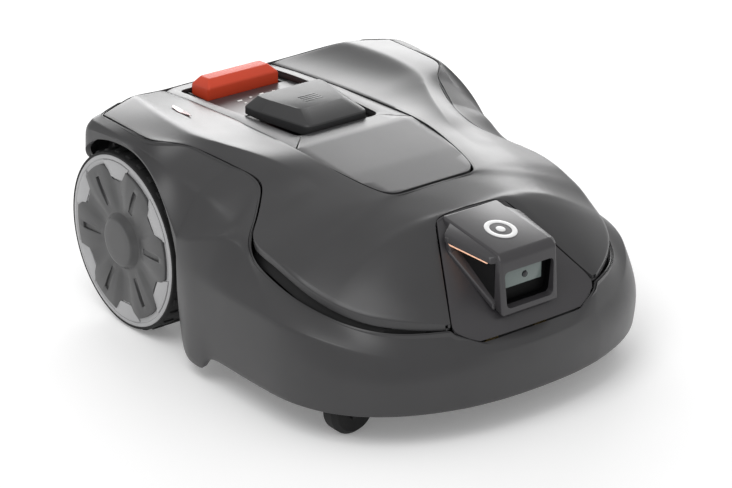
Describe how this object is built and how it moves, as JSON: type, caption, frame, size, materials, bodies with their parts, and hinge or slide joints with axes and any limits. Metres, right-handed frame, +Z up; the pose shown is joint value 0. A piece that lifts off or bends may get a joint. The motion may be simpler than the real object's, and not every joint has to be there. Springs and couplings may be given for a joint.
{
  "type": "robotic lawn mower",
  "caption": "Robotic lawn mower with a floating body shell, rear drive wheels, swivel casters, stop bar, hinged lid and a height-adjustable cutting disc.",
  "frame": {"origin": "on the ground under the middle of the mower's bounding box", "axes": "+Z up, the mower's front faces -Y, its left side is +X"},
  "size_m": [0.4838, 0.609, 0.247],
  "materials": {
    "shell_plastic": "fine moulded texture",
    "cover_plastic": "satin moulded plastic",
    "panel_plastic": "satin moulded plastic",
    "lid_plastic": "fine moulded texture",
    "camera_plastic": "satin moulded plastic",
    "black_plastic": "fine moulded texture",
    "chassis_plastic": "fine moulded texture",
    "cap_plastic": "satin moulded plastic",
    "silver_paint": "satin silver paint on plastic",
    "stop_orange": "satin moulded plastic",
    "marker_red": "clear red plastic",
    "led_diffuser": "translucent white plastic",
    "tyre_rubber": "matt rubber",
    "silicone": "soft matt rubber",
    "window_glass": "clear glass",
    "lens_glass": "polished dark lens",
    "steel": "brushed",
    "motor_alloy": "cast, bead blasted",
    "brass": "polished",
    "battery_wrap": "printed wrap without text",
    "circuit_board": "solder mask"
  },
  "bodies": {
    "chassis": {"chassis_tub": "chassis_plastic", "chassis_hood": "chassis_plastic", "battery_cover": "chassis_plastic", "battery_pack": "battery_wrap", "main_board": "circuit_board", "drive_motors": "motor_alloy", "drive_gearboxes": "chassis_plastic", "axle_bearings": "steel", "caster_bushes": "black_plastic", "float_posts": "silicone", "charge_contacts": "brass", "guide_rods": "steel", "motor_seal": "silicone", "tub_screws": "steel"},
    "float_frame": {"float_frame": "black_plastic"},
    "body_shell": {"lower_shell": "shell_plastic", "top_cover": "cover_plastic", "control_panel": "panel_plastic", "hatch_panel": "cover_plastic", "camera_panel": "camera_plastic", "camera_housing": "camera_plastic", "camera_window": "window_glass", "camera_lens": "lens_glass", "stop_spring_pad": "silicone", "lid_hinge_pin": "steel", "status_leds": "led_diffuser", "gap_trim": "black_plastic", "marker_lights": "marker_red", "lamp_wings": "camera_plastic", "arch_liners": "black_plastic"},
    "stop_button": {"stop_button": "stop_orange"},
    "height_lid": {"height_lid": "lid_plastic"},
    "height_dial": {"height_dial": "lid_plastic", "height_screw": "steel"},
    "cutting_deck": {"deck_carriage": "black_plastic", "cut_motor": "motor_alloy"},
    "cutting_disc": {"cut_spindle": "steel", "cut_disc": "steel", "blade_screws": "steel", "skid_bush": "black_plastic"},
    "skid_plate": {"skid_plate": "black_plastic"},
    "blade_1": {"blade_1": "steel"},
    "blade_2": {"blade_2": "steel"},
    "blade_3": {"blade_3": "steel"},
    "wheel_left": {"tyre_left": "tyre_rubber", "rim_left": "black_plastic", "trim_ring_left": "silver_paint", "wheel_cap_left": "cap_plastic", "axle_left": "steel"},
    "caster_left": {"caster_fork_left": "black_plastic", "caster_pins_left": "steel"},
    "caster_roller_left": {"caster_wheel_left": "tyre_rubber"},
    "wheel_right": {"tyre_right": "tyre_rubber", "rim_right": "black_plastic", "trim_ring_right": "silver_paint", "wheel_cap_right": "cap_plastic", "axle_right": "steel"},
    "caster_right": {"caster_fork_right": "black_plastic", "caster_pins_right": "steel"},
    "caster_roller_right": {"caster_wheel_right": "tyre_rubber"}
  },
  "joints": [
    {"name": "wheel_left_spin", "type": "hinge", "parent": "chassis", "child": "wheel_left", "pos_m": [0.205, 0.166, 0.107], "axis": [1, 0, 0], "continuous": true},
    {"name": "caster_left_swivel", "type": "hinge", "parent": "chassis", "child": "caster_left", "pos_m": [0.158, -0.195, 0.08], "axis": [0, 0, 1], "continuous": true},
    {"name": "caster_left_roll", "type": "hinge", "parent": "caster_left", "child": "caster_roller_left", "pos_m": [0.178, -0.195, 0.028], "axis": [0, 1, 0], "continuous": true},
    {"name": "wheel_right_spin", "type": "hinge", "parent": "chassis", "child": "wheel_right", "pos_m": [-0.205, 0.166, 0.107], "axis": [1, 0, 0], "continuous": true},
    {"name": "caster_right_swivel", "type": "hinge", "parent": "chassis", "child": "caster_right", "pos_m": [-0.158, -0.195, 0.08], "axis": [0, 0, 1], "continuous": true},
    {"name": "caster_right_roll", "type": "hinge", "parent": "caster_right", "child": "caster_roller_right", "pos_m": [-0.178, -0.195, 0.028], "axis": [0, 1, 0], "continuous": true},
    {"name": "bump_slide", "type": "slide", "parent": "chassis", "child": "float_frame", "axis": [0, 1, 0], "range_m": [-0.005, 0.005], "stiffness_N_per_m": 2500},
    {"name": "lift_slide", "type": "slide", "parent": "float_frame", "child": "body_shell", "axis": [0, 0, 1], "range_m": [0, 0.008]},
    {"name": "stop_press", "type": "slide", "parent": "body_shell", "child": "stop_button", "axis": [0, 0, -1], "range_m": [0, 0.005], "stiffness_N_per_m": 900, "springref_m": -0.005, "deforming": ["stop_spring_pad"]},
    {"name": "lid_open", "type": "hinge", "parent": "body_shell", "child": "height_lid", "pos_m": [0, 0.1545, 0.2289], "axis": [-1, 0, 0], "range_deg": [0, 75]},
    {"name": "deck_height", "type": "slide", "parent": "chassis", "child": "cutting_deck", "axis": [0, 0, 1], "range_m": [-0.03, 0]},
    {"name": "dial_turn", "type": "hinge", "parent": "chassis", "child": "height_dial", "pos_m": [0, 0.11, 0.2], "axis": [0, 0, 1], "range_deg": [-330, 0]},
    {"name": "disc_spin", "type": "hinge", "parent": "cutting_deck", "child": "cutting_disc", "pos_m": [0, -0.03, 0.06], "axis": [0, 0, 1], "continuous": true},
    {"name": "skid_spin", "type": "hinge", "parent": "cutting_disc", "child": "skid_plate", "pos_m": [0, -0.03, 0.044], "axis": [0, 0, 1], "continuous": true},
    {"name": "blade_1_swing", "type": "hinge", "parent": "cutting_disc", "child": "blade_1", "pos_m": [0, 0.047, 0.051], "axis": [0, 0, 1], "continuous": true},
    {"name": "blade_2_swing", "type": "hinge", "parent": "cutting_disc", "child": "blade_2", "pos_m": [-0.06668, -0.0685, 0.051], "axis": [0, 0, 1], "continuous": true},
    {"name": "blade_3_swing", "type": "hinge", "parent": "cutting_disc", "child": "blade_3", "pos_m": [0.06668, -0.0685, 0.051], "axis": [0, 0, 1], "continuous": true}
  ],
  "couplings": [
    {"joint": "dial_turn", "follows": "deck_height", "rad_per_m": 191.9}
  ]
}
